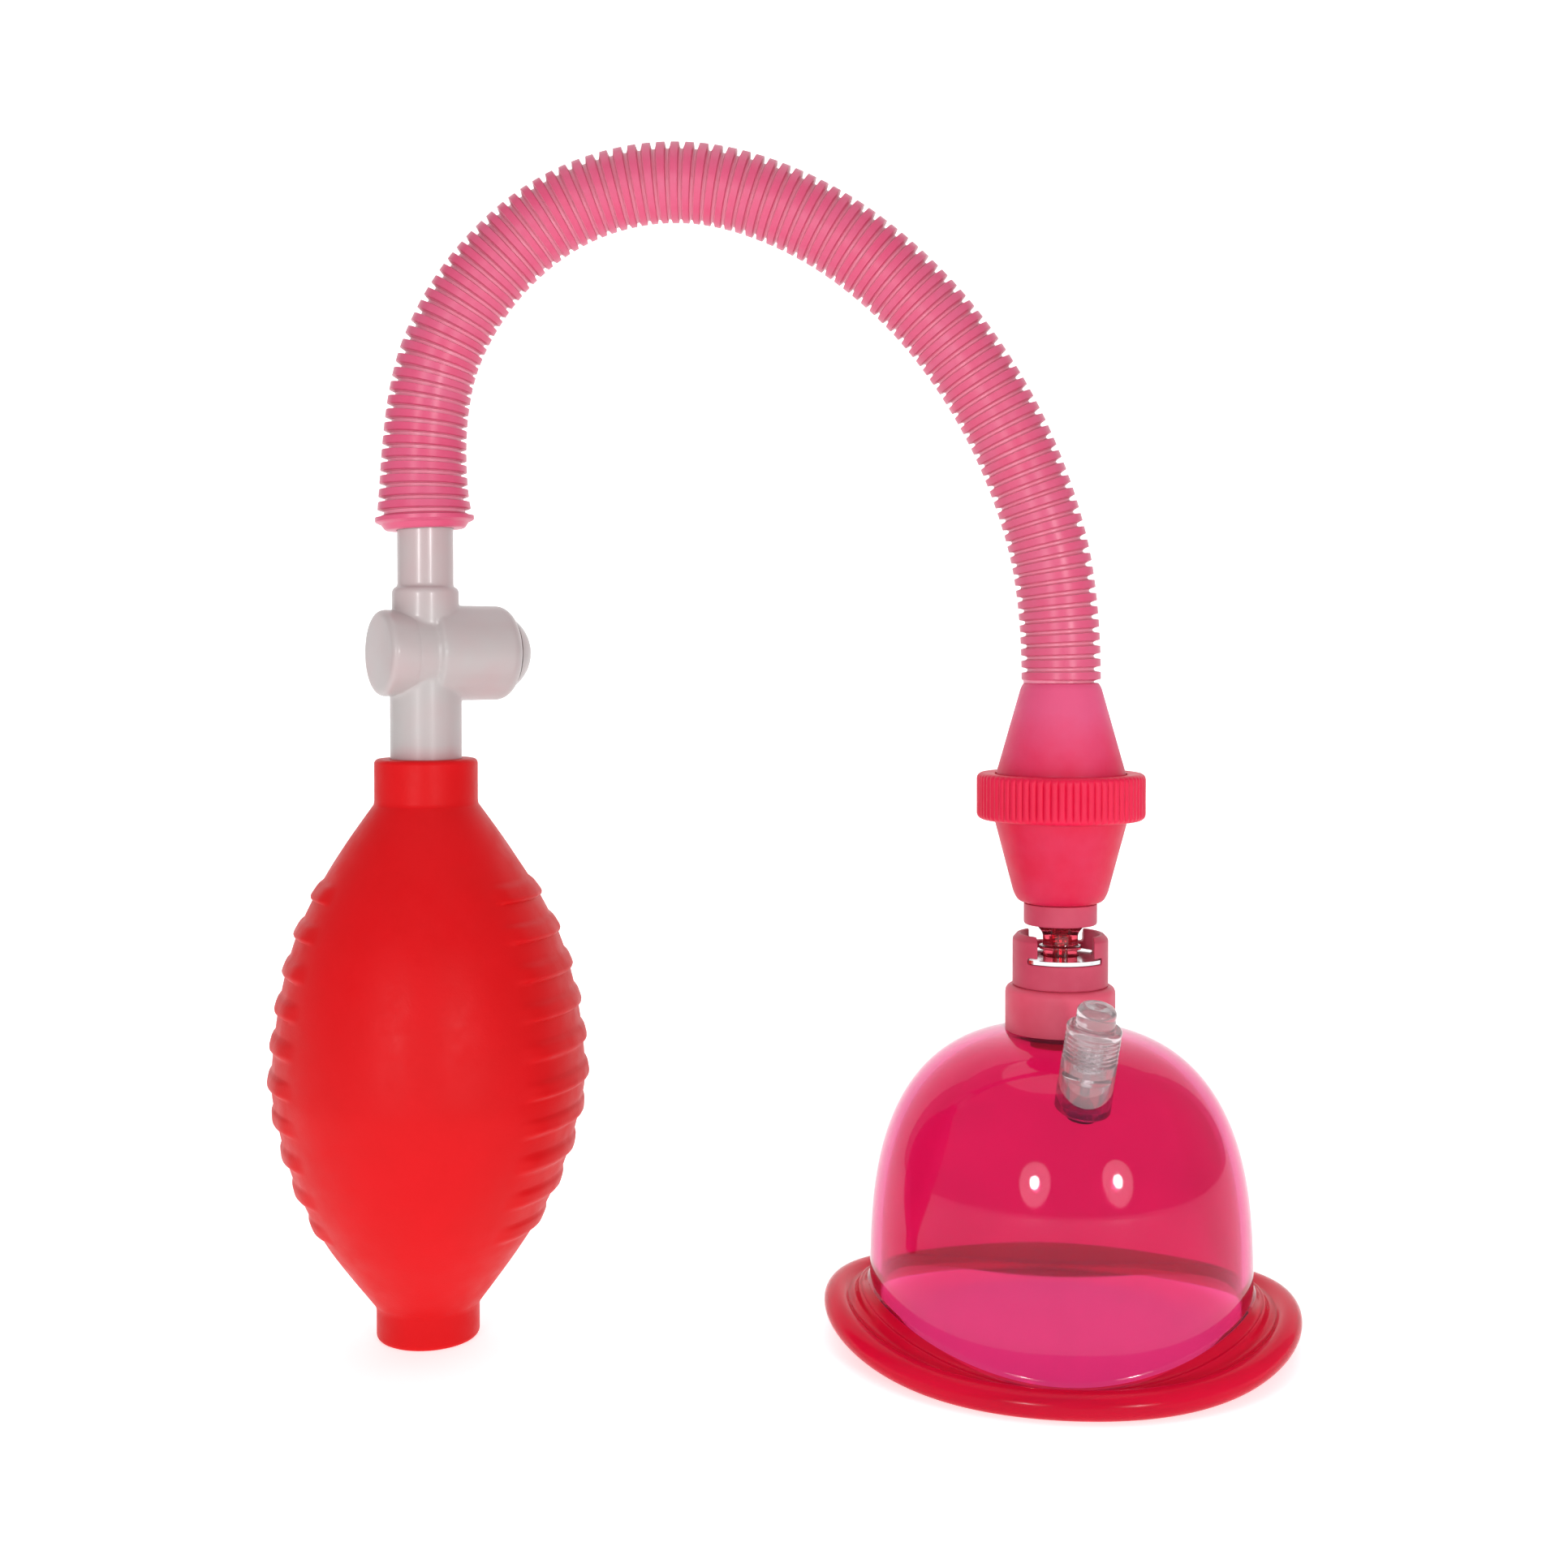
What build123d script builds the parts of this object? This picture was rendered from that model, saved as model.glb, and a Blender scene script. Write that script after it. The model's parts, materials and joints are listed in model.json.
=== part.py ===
"""Hand-bulb vacuum pump: squeeze bulb, T release valve, corrugated hose, union coupling,
quick-connect and a domed suction cup with a vent valve.

Millimetres, +Z up. The pump stands on a floor at Z = 0, on the cup's rim and the bulb's
lower neck. The origin is midway between the bulb's left side and the rim's right side.
"""
import math
import os

from build123d import *

os.makedirs("parts", exist_ok=True)

# ---------------------------------------------------------------- driving dimensions
bulb_x = -67.35         # squeeze bulb's upright axis
cup_x = 52.1            # upright axis of the cup, the quick-connect and the union
running_gap = 0.08      # radial clearance of sliding and turning fits
seat_gap = 0.05         # face clearance where a moving piece rests against another

# squeeze bulb and its two valves
bulb_height = 109.2
neck_radius = 9.6
neck_bore = 6.65
lower_neck_top = 6.2
upper_neck_foot = 100.8
valve_reach = 12.0      # how far the plain neck bore runs into the bulb at each end
disc_travel = 0.8
port_radius = 5.3

# T release valve, its barrel turned about the stem
barrel_z = 129.0
barrel_yaw = 32.5
barrel_radius = 9.0
arm_radius = 8.0        # the barrel's short arm, closed by the end plug
barrel_end = 17.4
end_plug_radius = 8.0
end_plug_face = 9.3
end_plug_back = 6.8
lower_stem_radius = neck_bore
upper_stem_radius = 5.2
stem_top = 162.0
button_radius = 6.9
button_proud = 2.3

# corrugated hose
hose_diameter = 14.6
hose_bore_radius = 5.55
hose_foot = 152.2

# union coupling
cone_top_z = 123.4
cone_top_radius = 7.5
nut_top = 106.5
nut_bottom = 97.8
nut_radius = 15.7
nut_bore = 13.45
knurl_count = 72
upper_cone_base = 12.05
lower_cone_top = 12.45
lower_cone_foot = 82.0

# quick-connect
collar_radius = 6.85
collar_bottom = 78.0
nozzle_radius = 3.3
nose_radius = 3.2
nose_tip = 66.2
socket_radius = 8.95
socket_top = 76.3
socket_bottom = 66.5
socket_bore = 7.3
window_half = 5.2
plate_z = 71.3
plate_thickness = 0.7
base_radius = 10.3

# suction cup
dome_top = 58.6         # height of the superellipse above which the seat is cut flat
seat_z = 58.0
dome_half_width = 35.8
dome_depth_ratio = 0.9
dome_spring_z = 10.0    # below this height the wall is straight
dome_power = 2.75
wall = 2.0
rim_half_width = 44.5
rim_half_depth = 42.4
rim_yaw = -6.0          # the cup's long way is turned this far about its upright axis
bead_radius = 2.5
rim_rise = 3.8          # the rim's side tips stand this much above its front and back
foot_rise = 8.0         # the same for the dome's foot
foot_z = 3.0
socket_hole = 5.6

# vent valve on the front of the dome
vent_base = (53.75, -21.4, 54.0)
vent_axis = (0.105, -0.225, 0.969)
vent_radius = 4.95
vent_top = 9.6
vent_bottom = -7.0
vent_button_radius = 3.55
vent_button_top = 13.5

bulb_section = Plane(origin=(bulb_x, 0, 0), x_dir=(1, 0, 0), z_dir=(0, -1, 0))
bulb_axis = Axis((bulb_x, 0, 0), (0, 0, 1))
cup_section = Plane(origin=(cup_x, 0, 0), x_dir=(1, 0, 0), z_dir=(0, -1, 0))
cup_axis = Axis((cup_x, 0, 0), (0, 0, 1))


def finish(part, name):
    """Label a finished piece and write it."""
    part.label = name
    export_step(part, f"parts/{name}.step")


def outline(*points):
    """A closed straight-sided face in the sketch that is open."""
    with BuildLine() as edge:
        Polyline(*points, close=True)
    make_face(edge.edges())


# ---------------------------------------------------------------- squeeze bulb
with BuildPart() as squeeze_bulb:
    with BuildSketch(bulb_section):
        with BuildLine():
            Line((neck_bore, 0), (neck_radius, 0))
            Line((neck_radius, 0), (neck_radius, lower_neck_top))
            Spline((neck_radius, lower_neck_top), (19.3, 19.5), (25.3, 31.7), (28.7, 43.9),
                   (29.4, 51.0), (28.1, 63.0), (25.2, 74.4), (21.0, 83.6), (15.3, 92.8),
                   (neck_radius, upper_neck_foot))
            Line((neck_radius, upper_neck_foot), (neck_radius, bulb_height))
            Line((neck_radius, bulb_height), (neck_bore, bulb_height))
            Line((neck_bore, bulb_height), (neck_bore, bulb_height - valve_reach - 2.5))
            Spline((neck_bore, bulb_height - valve_reach - 2.5), (12.0, 91.6), (18.2, 83.0),
                   (22.6, 74.0), (25.6, 63.0), (26.8, 51.0), (26.1, 43.9), (22.7, 32.4),
                   (16.6, 21.0), (11.3, 14.2), (neck_bore, valve_reach))
            Line((neck_bore, valve_reach), (neck_bore, 0))
        make_face()
    revolve(axis=bulb_axis)
    fillet(squeeze_bulb.edges().filter_by(GeomType.CIRCLE).group_by(Axis.Z)[-1].sort_by(
        SortBy.RADIUS)[-1], 0.9)
    fillet(squeeze_bulb.edges().filter_by(GeomType.CIRCLE).group_by(Axis.Z)[0].sort_by(
        SortBy.RADIUS)[-1], 0.9)
finish(squeeze_bulb.part, "squeeze_bulb")


def valve_carrier(web_z, low, high):
    """Turned carrier with a web: six air holes around the hole of the disc's stem."""
    with BuildSketch(bulb_section) as section:
        outline((0, web_z), (5.0, web_z), (5.0, web_z - 1.2), (port_radius, web_z - 1.2),
                (port_radius, low), (neck_bore - 0.03, low), (neck_bore - 0.03, high),
                (port_radius, high), (port_radius, web_z + 1.6), (0, web_z + 1.6))
    revolve(section.sketch, axis=bulb_axis)
    with Locations((bulb_x, 0, web_z + 1.6)):
        Hole(radius=1.1)
        with PolarLocations(radius=3.0, count=6):
            Hole(radius=0.9)


def mushroom_disc(web_z):
    """Rubber disc under a carrier's web, on a stem with a head above the web."""
    head_z = web_z + 1.6 + disc_travel + 0.1
    with BuildSketch(bulb_section) as section:
        outline((0, web_z - 0.9 - seat_gap), (4.6, web_z - 0.5 - seat_gap),
                (4.6, web_z - seat_gap), (1.0, web_z - seat_gap), (1.0, head_z),
                (1.7, head_z), (1.2, head_z + 1.2), (0, head_z + 1.2))
    revolve(section.sketch, axis=bulb_axis)


# ---------------------------------------------------------------- bulb's two one-way valves
exhaust_web = 6.4
with BuildPart() as exhaust_valve_body:
    valve_carrier(exhaust_web, 0.8, 10.6)
finish(exhaust_valve_body.part, "exhaust_valve_body")

with BuildPart() as exhaust_valve_disc:
    mushroom_disc(exhaust_web)
finish(exhaust_valve_disc.part, "exhaust_valve_disc")

inlet_web = 96.6
with BuildPart() as inlet_valve_seat:
    valve_carrier(inlet_web, 95.0, 101.4)
finish(inlet_valve_seat.part, "inlet_valve_seat")

with BuildPart() as inlet_valve_disc:
    mushroom_disc(inlet_web)
finish(inlet_valve_disc.part, "inlet_valve_disc")

# ---------------------------------------------------------------- T release valve
barrel_dir = (math.cos(math.radians(barrel_yaw)), math.sin(math.radians(barrel_yaw)), 0)
barrel_axis = Axis((bulb_x, 0, barrel_z), barrel_dir)
# sketch plane with its x along the barrel and its y up
barrel_section = Plane(origin=(bulb_x, 0, barrel_z), x_dir=barrel_dir,
                       z_dir=(barrel_dir[1], -barrel_dir[0], 0))
web_in, web_out = 7.0, 9.0

with BuildPart() as valve_body:
    with BuildSketch(bulb_section):
        outline((0, 101.6), (lower_stem_radius, 101.6), (lower_stem_radius, barrel_z),
                (6.2, barrel_z + 4), (6.2, 140.6), (5.8, 141.3), (upper_stem_radius, 141.3),
                (upper_stem_radius, stem_top), (0, stem_top))
    revolve(axis=bulb_axis)
    with BuildSketch(barrel_section):
        with BuildLine():
            Polyline((0, 0), (0, barrel_radius - 0.6), (0.6, barrel_radius),
                     (barrel_end - 3.2, barrel_radius))
            ThreePointArc((barrel_end - 3.2, barrel_radius),
                          (barrel_end - 0.9, barrel_radius - 0.75), (barrel_end, 7.4))
            Polyline((barrel_end, 7.4), (barrel_end, 0), (0, 0))
        make_face()
    revolve(axis=barrel_axis)
    with BuildSketch(barrel_section):
        outline((0.05 - end_plug_back, 0), (0.05 - end_plug_back, arm_radius),
                (2, arm_radius), (2, 0))
    revolve(axis=barrel_axis)
    with BuildSketch(bulb_section):
        outline((0, 101), (3.6, 101), (3.6, stem_top + 1), (0, stem_top + 1))
    revolve(axis=bulb_axis, mode=Mode.SUBTRACT)
    with BuildSketch(barrel_section):
        outline((-7, 0), (-7, 4.9), (web_in, 4.9), (web_in, 2.4), (web_out, 2.4),
                (web_out, button_radius + running_gap),
                (barrel_end + 1, button_radius + running_gap), (barrel_end + 1, 0))
    revolve(axis=barrel_axis, mode=Mode.SUBTRACT)
finish(valve_body.part, "valve_body")

with BuildPart() as valve_end_plug:
    with BuildSketch(barrel_section):
        with BuildLine():
            Polyline((-4.4, 0), (-4.4, 4.85), (-end_plug_back, 4.85),
                     (-end_plug_back, end_plug_radius - 0.4),
                     (-end_plug_back - 0.4, end_plug_radius),
                     (-end_plug_face + 1.6, end_plug_radius))
            ThreePointArc((-end_plug_face + 1.6, end_plug_radius),
                          (-end_plug_face + 0.47, end_plug_radius - 0.47),
                          (-end_plug_face, end_plug_radius - 1.6))
            Polyline((-end_plug_face, end_plug_radius - 1.6), (-end_plug_face, 0), (-4.4, 0))
        make_face()
    revolve(axis=barrel_axis)
finish(valve_end_plug.part, "valve_end_plug")

crown_radius = (button_radius ** 2 + button_proud ** 2) / (2 * button_proud)
with BuildPart() as release_button:
    with BuildSketch(barrel_section):
        with BuildLine():
            crown = CenterArc((barrel_end + button_proud - crown_radius, 0), crown_radius,
                              0, math.degrees(math.asin(button_radius / crown_radius)))
            Polyline(crown @ 1, (12.0, button_radius), (12.0, 1.9), (5.4, 1.9), (5.4, 0),
                     crown @ 0)
        make_face()
    revolve(axis=barrel_axis)
finish(release_button.part, "release_button")

with BuildPart() as release_poppet:
    with BuildSketch(barrel_section):
        outline((4.4, 0), (4.4, 4.2), (6.3, 4.2), (6.3, 1.95), (5.4, 1.95), (5.4, 0))
    revolve(axis=barrel_axis)
finish(release_poppet.part, "release_poppet")

with BuildPart() as release_seal:
    with BuildSketch(barrel_section):
        outline((6.3, 2.6), (6.3, 4.2), (web_in - seat_gap, 4.0), (web_in - seat_gap, 2.8))
    revolve(axis=barrel_axis)
finish(release_seal.part, "release_seal")


def coil_spring(start, direction, length, coil_radius, wire_radius, turns):
    """Wire wound on a helix from start along direction."""
    with BuildLine() as coil:
        Helix(pitch=length / turns, height=length, radius=coil_radius, center=start,
              direction=direction)
    with BuildSketch(coil.line ^ 0) as wire:
        Circle(wire_radius)
    sweep(wire.sketch, path=coil.line, is_frenet=True)


def along(origin, direction, distance):
    """The point at a distance from origin along direction."""
    return tuple(o + d * distance for o, d in zip(origin, direction))


barrel_centre = (bulb_x, 0, barrel_z)
with BuildPart() as release_spring:
    coil_spring(along(barrel_centre, barrel_dir, -4.0), barrel_dir, 8.0, 2.9, 0.35, 6)
finish(release_spring.part, "release_spring")

# ---------------------------------------------------------------- corrugated hose
hose_route = [
    (bulb_x, 0, hose_foot), (-68.5, 0, 174.4), (-59.7, 0, 196.5), (-41.9, 0, 213.1),
    (-18.7, 0, 218.5), (5.1, 0, 211.2), (25.2, 0, 195.8), (40.1, 0, 175.3),
    (49.1, 0, 153.2), (52.1, 0, 134.6), (cup_x, 0, cone_top_z),
]
route = [Vector(*point) for point in hose_route]
runs = [b - a for a, b in zip(route, route[1:])]
hose_radii = [
    0.45 * min(a.length, b.length) / math.tan(math.radians(a.get_angle(b)) / 2)
    for a, b in zip(runs, runs[1:])
]
print("hose radii", [round(radius, 1) for radius in hose_radii])
print("hose runs", [round(run.length, 1) for run in runs])

with BuildPart() as hose:
    with BuildLine() as hose_line:
        FilletPolyline(*route, radius=hose_radii)
    with BuildSketch(Plane(origin=route[0], z_dir=runs[0])):
        Circle(hose_diameter / 2)
        Circle(hose_bore_radius, mode=Mode.SUBTRACT)
    sweep()
hose_area = math.pi * ((hose_diameter / 2) ** 2 - hose_bore_radius ** 2)
hose_length = hose_line.wire().length
print("hose length", round(hose_length, 1), "volume over section times length",
      round(hose.part.volume / (hose_area * hose_length), 4))
finish(hose.part, "hose")

# ---------------------------------------------------------------- union coupling
barb_bore = 4.0
with BuildPart() as hose_barb:
    with BuildSketch(cup_section):
        outline((barb_bore, 112.0), (5.5, 112.0), (5.5, 124.2), (5.2, 124.6), (5.5, 126.4),
                (5.2, 126.8), (5.5, 128.6), (5.0, 130.6), (barb_bore, 130.6))
    revolve(axis=cup_axis)
finish(hose_barb.part, "hose_barb")

flange_bottom = 102.6
flange_top = 104.4
with BuildPart() as coupler_upper_cone:
    with BuildSketch(cup_section):
        outline((5.5, cone_top_z), (7.0, cone_top_z), (cone_top_radius, cone_top_z - 0.8),
                (upper_cone_base, nut_top), (upper_cone_base, flange_top),
                (13.2, flange_top), (13.2, flange_bottom), (10.0, flange_bottom),
                (10.0, 106.4), (5.5, 116.5))
    revolve(axis=cup_axis)
finish(coupler_upper_cone.part, "coupler_upper_cone")

lip_bottom = 105.2
with BuildPart() as union_nut:
    with BuildSketch(cup_section):
        with BuildLine():
            Polyline((nut_radius, nut_top - 1.0), (nut_radius, nut_bottom + 1.0))
            ThreePointArc((nut_radius, nut_bottom + 1.0),
                          (nut_radius - 0.3, nut_bottom + 0.3),
                          (nut_radius - 1.0, nut_bottom))
            Polyline((nut_radius - 1.0, nut_bottom), (nut_bore, nut_bottom),
                     (nut_bore, lip_bottom), (upper_cone_base + 0.3, lip_bottom),
                     (upper_cone_base + 0.3, nut_top), (nut_radius - 1.0, nut_top))
            ThreePointArc((nut_radius - 1.0, nut_top), (nut_radius - 0.3, nut_top - 0.3),
                          (nut_radius, nut_top - 1.0))
        make_face()
    revolve(axis=cup_axis)
    with BuildSketch(Plane(origin=(cup_x, 0, nut_bottom))):
        with PolarLocations(radius=nut_radius + 0.12, count=knurl_count):
            RegularPolygon(radius=0.5, side_count=3, rotation=180)
    extrude(amount=nut_top - nut_bottom, mode=Mode.SUBTRACT)
finish(union_nut.part, "union_nut")

with BuildPart() as thrust_washer:
    with BuildSketch(cup_section):
        outline((12.25, flange_top + seat_gap), (13.25, flange_top + seat_gap),
                (13.25, lip_bottom - seat_gap), (12.25, lip_bottom - seat_gap))
    revolve(axis=cup_axis)
finish(thrust_washer.part, "thrust_washer")

thread_radius = nut_bore - running_gap
with BuildPart() as coupler_lower_cone:
    with BuildSketch(cup_section):
        with BuildLine():
            Polyline((4.9, lower_cone_foot), (6.2, lower_cone_foot))
            ThreePointArc((6.2, lower_cone_foot), (7.9, lower_cone_foot + 0.5),
                          (8.8, lower_cone_foot + 1.9))
            Polyline((8.8, lower_cone_foot + 1.9), (lower_cone_top, nut_bottom),
                     (lower_cone_top, nut_bottom + 0.8), (thread_radius, nut_bottom + 1.4),
                     (thread_radius, nut_bottom + 1.9), (12.9, nut_bottom + 2.2),
                     (thread_radius, nut_bottom + 2.5), (thread_radius, nut_bottom + 2.9),
                     (12.9, nut_bottom + 3.2), (thread_radius, nut_bottom + 3.5),
                     (thread_radius, 102.0), (10.0, 102.0), (10.0, 100.2), (10.4, 97.8),
                     (7.2, 84.2), (4.9, 84.0), (4.9, lower_cone_foot))
        make_face()
    revolve(axis=cup_axis)
finish(coupler_lower_cone.part, "coupler_lower_cone")

with BuildPart() as coupler_seal:
    with BuildSketch(cup_section):
        outline((10.3, 102.0), (12.8, 102.0), (12.8, flange_bottom), (10.3, flange_bottom))
    revolve(axis=cup_axis)
finish(coupler_seal.part, "coupler_seal")

with BuildPart() as coupler_filter:
    with BuildSketch(Plane(origin=(cup_x, 0, 100.3))):
        Circle(9.9)
        with PolarLocations(radius=5.5, count=8):
            Circle(1.0, mode=Mode.SUBTRACT)
        Circle(1.2, mode=Mode.SUBTRACT)
    extrude(amount=1.6)
finish(coupler_filter.part, "coupler_filter")

# ---------------------------------------------------------------- quick-connect plug
stem_bore = 3.0
with BuildPart() as plug_collar:
    with BuildSketch(cup_section):
        with BuildLine():
            Polyline((stem_bore, collar_bottom), (collar_radius - 0.4, collar_bottom),
                     (collar_radius, collar_bottom + 0.4),
                     (collar_radius, lower_cone_foot - seat_gap),
                     (4.9 - running_gap, lower_cone_foot - seat_gap),
                     (4.9 - running_gap, 84.3), (6.2, 84.5), (6.4, 85.3), (5.0, 87.2),
                     (5.0, 88.6), (6.4, 89.6), (6.4, 90.6), (5.0, 92.2), (5.0, 93.4),
                     (6.4, 94.4), (6.2, 95.4), (4.6, 96.6), (stem_bore, 96.6), close=True)
        make_face()
    revolve(axis=cup_axis)
finish(plug_collar.part, "plug_collar")

seal_z = 68.4
with BuildPart() as plug_nozzle:
    with BuildSketch(cup_section):
        outline((1.0, nose_tip), (2.8, nose_tip), (nose_radius, nose_tip + 0.6),
                (nose_radius, seal_z - 0.75), (2.45, seal_z - 0.75), (2.45, seal_z + 0.75),
                (nose_radius, seal_z + 0.75), (nose_radius, 73.3), (4.0, 73.3), (4.0, 74.0),
                (nozzle_radius, 74.0), (nozzle_radius, 76.4), (4.7, collar_bottom),
                (stem_bore, collar_bottom), (stem_bore, 81.4), (0.75, 81.4), (0.75, 79.4),
                (1.55, 79.4), (1.55, 74.0), (1.0, 74.0))
    revolve(axis=cup_axis)
finish(plug_nozzle.part, "plug_nozzle")

with BuildPart() as plug_seal:
    with BuildSketch(cup_section):
        with Locations((2.9, seal_z)):
            Ellipse(0.42, 0.68)
    revolve(axis=cup_axis)
finish(plug_seal.part, "plug_seal")

pin_tip = 64.4
with BuildPart() as plug_pin:
    with BuildSketch(cup_section):
        outline((0, pin_tip), (0.45, pin_tip), (0.6, pin_tip + 0.3), (0.6, 74.1),
                (1.4, 74.1), (1.4, 74.7), (0.6, 74.7), (0.6, 81.45), (1.9, 81.45),
                (1.9, 82.3), (0, 82.3))
    revolve(axis=cup_axis)
finish(plug_pin.part, "plug_pin")

with BuildPart() as plug_spring:
    coil_spring((cup_x, 0, 74.95), (0, 0, 1), 4.2, 1.08, 0.2, 6)
finish(plug_spring.part, "plug_spring")

# ---------------------------------------------------------------- quick-connect socket
socket_floor = 71.0
nose_bore = nose_radius + running_gap + 0.12
poppet_seat = 63.4
with BuildPart() as socket_body:
    with BuildSketch(cup_section):
        outline((socket_radius, socket_bottom), (socket_radius, socket_top - 1.0),
                (socket_radius - 0.9, socket_top), (socket_bore + 0.2, socket_top),
                (socket_bore, socket_top - 0.3), (socket_bore, socket_floor),
                (nose_bore, socket_floor), (nose_bore, poppet_seat + 1.2),
                (1.9, poppet_seat + 1.2), (1.9, poppet_seat), (4.3, poppet_seat),
                (4.3, 59.2), (6.0, 59.2), (6.0, socket_bottom))
    revolve(axis=cup_axis)
    with BuildSketch(Plane(origin=(cup_x, 0, plate_z + plate_thickness + 0.35))):
        with Locations((0, -socket_radius)):
            Rectangle(2 * window_half, 2 * socket_radius)
    extrude(amount=8, mode=Mode.SUBTRACT)
    with BuildSketch(Plane(origin=(cup_x, 0, 73.8))):
        with Locations((0, socket_radius)):
            Rectangle(2 * window_half, 2 * socket_radius)
    extrude(amount=8, mode=Mode.SUBTRACT)
    with BuildSketch(Plane(origin=(cup_x, 0, plate_z - 0.1))):
        Rectangle(13.8, 2 * socket_radius + 2)
    extrude(amount=plate_thickness + 0.45, mode=Mode.SUBTRACT)
    with BuildSketch(Plane(origin=(cup_x, socket_bore - 0.2, 69.0), x_dir=(1, 0, 0),
                           z_dir=(0, 1, 0))):
        Circle(1.5)
    extrude(amount=3, mode=Mode.SUBTRACT)
finish(socket_body.part, "socket_body")

with BuildPart() as latch_plate:
    with BuildSketch(Plane(origin=(cup_x, 0, plate_z))):
        Circle(8.7)
        Rectangle(13.5, 20, mode=Mode.INTERSECT)
        with Locations((0, 9.7)):
            Rectangle(6.0, 2.6)
        with Locations((0, 0.6)):
            SlotCenterToCenter(1.3, 2 * 3.5, rotation=90, mode=Mode.SUBTRACT)
    extrude(amount=plate_thickness)
    with BuildSketch(Plane(origin=(cup_x, 10.7, 67.4))):
        Rectangle(6.0, 0.6)
    extrude(amount=plate_z + plate_thickness - 67.4)
finish(latch_plate.part, "latch_plate")

with BuildPart() as latch_spring:
    coil_spring((cup_x, 7.5, 69.0), (0, 1, 0), 2.65, 0.95, 0.17, 5)
finish(latch_spring.part, "latch_spring")

with BuildPart() as socket_poppet:
    with BuildSketch(cup_section):
        outline((0, 58.9), (1.0, 58.9), (1.0, 62.2), (3.6, 62.2),
                (3.6, poppet_seat - seat_gap), (1.5, poppet_seat - seat_gap),
                (1.3, pin_tip - seat_gap), (0, pin_tip - seat_gap))
    revolve(axis=cup_axis)
finish(socket_poppet.part, "socket_poppet")

with BuildPart() as socket_spring:
    coil_spring((cup_x, 0, 58.95), (0, 0, 1), 2.95, 1.9, 0.25, 4)
finish(socket_spring.part, "socket_spring")

with BuildPart() as socket_base:
    with BuildSketch(cup_section):
        with BuildLine():
            Polyline((5.5, 54.6), (5.5, seat_z), (6.6, seat_z), (6.6, seat_z + 0.6),
                     (8.6, seat_z + 0.6), (8.6, seat_z), (base_radius, seat_z),
                     (base_radius, socket_bottom - 1.4))
            ThreePointArc((base_radius, socket_bottom - 1.4),
                          (base_radius - 0.4, socket_bottom - 0.4),
                          (base_radius - 1.4, socket_bottom))
            Polyline((base_radius - 1.4, socket_bottom), (6.0, socket_bottom), (6.0, 58.6),
                     (1.3, 58.6), (1.3, 57.4), (4.3, 57.4), (4.3, 54.6), (5.5, 54.6))
        make_face()
    revolve(axis=cup_axis)
    with Locations((cup_x, 0, 58.6)):
        with PolarLocations(radius=2.9, count=3):
            Hole(radius=0.8)
finish(socket_base.part, "socket_base")

with BuildPart() as socket_gasket:
    with BuildSketch(cup_section):
        outline((6.7, seat_z), (8.5, seat_z), (8.5, seat_z + 0.55), (6.7, seat_z + 0.55))
    revolve(axis=cup_axis)
finish(socket_gasket.part, "socket_gasket")


# ---------------------------------------------------------------- suction cup
def dome_radius(z, shrink):
    """Half-width of the dome at a height, shrunk by the wall for the inner face."""
    height = max(0.0, (z - dome_spring_z) / (dome_top - dome_spring_z - shrink))
    return (dome_half_width - shrink) * (1 - height ** dome_power) ** (1 / dome_power)


def oval(half_width, half_depth, angle):
    """Radius of an oval at an angle from its width axis."""
    c, s = math.cos(math.radians(angle)), math.sin(math.radians(angle))
    return 1 / math.hypot(c / half_width, s / half_depth)


def dome_point(z, shrink, angle):
    """Point of the dome's face in the radial plane at an angle: round on top, oval below."""
    half_width = dome_radius(z, shrink)
    ratio = 1 - (1 - dome_depth_ratio) * (half_width / (dome_half_width - shrink)) ** 2
    return oval(half_width, half_width * ratio, angle), z


def cup_outline(angle):
    """Section of the cup's wall, brim and rolled bead in the radial plane at an angle."""
    side = math.cos(math.radians(angle)) ** 2
    foot = foot_z + foot_rise * side
    bead_z = bead_radius + rim_rise * side
    bead_r = oval(rim_half_width - bead_radius, rim_half_depth - bead_radius, angle)
    outer = [dome_point(z, 0, angle) for z in (56.4, 53.0, 48.0, 41.0, 31.0, 20.0, foot)]
    inner = [dome_point(z, wall, angle) for z in (foot - wall, 20.0, 31.0, 41.0, 48.0, 52.0)]
    brim_in = (outer[-1][0] + 1.2, foot - 1.0)
    bead_top = (bead_r - 0.5 * bead_radius, bead_z + 0.866 * bead_radius)
    bead_low = (bead_r - 0.9 * bead_radius, bead_z - 0.436 * bead_radius)
    seat_edge = (base_radius, seat_z)
    ceiling = (base_radius - 1.0, seat_z - wall - 0.1)
    with BuildLine() as edge:
        Line((3.0, seat_z), seat_edge)
        Spline(seat_edge, *outer)
        Polyline(outer[-1], brim_in, bead_top)
        ThreePointArc(bead_top, (bead_r + bead_radius, bead_z), bead_low)
        Line(bead_low, inner[0])
        Spline(*inner, ceiling)
        Polyline(ceiling, (3.0, ceiling[1]), (3.0, seat_z))
    make_face(edge.edges())


def radial_plane(angle):
    """Upright plane through the cup's axis, its x pointing out at an angle."""
    turn = math.radians(angle + rim_yaw)
    c, s = math.cos(turn), math.sin(turn)
    return Plane(origin=(cup_x, 0, 0), x_dir=(c, s, 0), z_dir=(s, -c, 0))


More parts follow.
